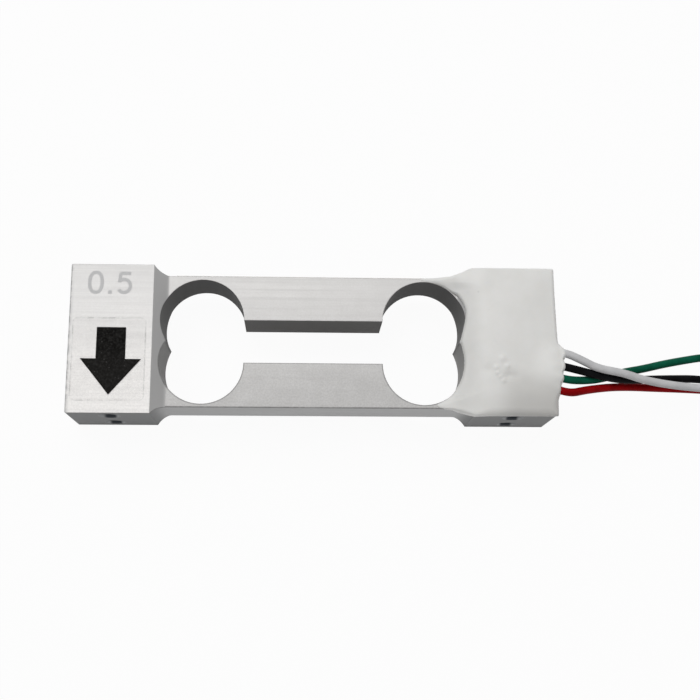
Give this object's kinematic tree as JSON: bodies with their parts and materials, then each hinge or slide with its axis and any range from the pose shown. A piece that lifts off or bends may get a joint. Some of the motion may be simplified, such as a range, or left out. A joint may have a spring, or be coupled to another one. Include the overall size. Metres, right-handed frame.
{
  "type": "single point load cell",
  "caption": "Small aluminium bending beam load cell with a double-lobed window, white sealed terminals and thin colour-coded leads.",
  "frame": {"origin": "centre of the beam's length and height, on the plane of its back faces, on which it lies", "axes": "+X along the beam to the leads, +Y up against the load (the arrow points along -Y), +Z out of the labelled face"},
  "size_m": [0.0789, 0.0179, 0.008],
  "materials": {
    "beam_aluminium": "fine milled, clear anodised, satin",
    "clear_film": "thin clear adhesive film",
    "arrow_print": "black print, slightly speckled",
    "polyimide": "amber film",
    "gauge_foil": "etched foil",
    "clear_coat": "milky silicone coat",
    "board_laminate": "glass laminate",
    "pad_copper": "flash plated",
    "resistor_ceramic": "fired glaze",
    "solder": "bright",
    "white_silicone": "smooth, slightly lumpy, satin",
    "enamelled_wire": "clear enamel",
    "tinned_copper": "tinned strands",
    "insulation_white": "smooth extruded",
    "insulation_black": "smooth extruded",
    "insulation_green": "smooth extruded",
    "insulation_red": "smooth extruded",
    "tie_plastic": "soft"
  },
  "bodies": {
    "root": {"beam": "beam_aluminium", "label_film": "clear_film", "direction_arrow": "arrow_print", "gauge_carrier_left": "polyimide", "gauge_carrier_right": "polyimide", "gauge_grid_left": "gauge_foil", "gauge_grid_right": "gauge_foil", "gauge_coating": "clear_coat", "terminal_board": "board_laminate", "terminal_pads": "pad_copper", "balance_resistor": "resistor_ceramic", "solder_joints": "solder", "sealant": "white_silicone", "coil_tie": "tie_plastic", "gauge_wire_1": "enamelled_wire", "gauge_wire_2": "enamelled_wire", "gauge_wire_3": "enamelled_wire", "gauge_wire_4": "enamelled_wire", "core_white": "tinned_copper", "tinned_end_white": "tinned_copper", "lead_white": "insulation_white", "coil_white": "insulation_white", "core_black": "tinned_copper", "tinned_end_black": "tinned_copper", "lead_black": "insulation_black", "coil_black": "insulation_black", "core_green": "tinned_copper", "tinned_end_green": "tinned_copper", "lead_green": "insulation_green", "coil_green": "insulation_green", "core_red": "tinned_copper", "tinned_end_red": "tinned_copper", "lead_red": "insulation_red", "coil_red": "insulation_red"}
  },
  "joints": []
}
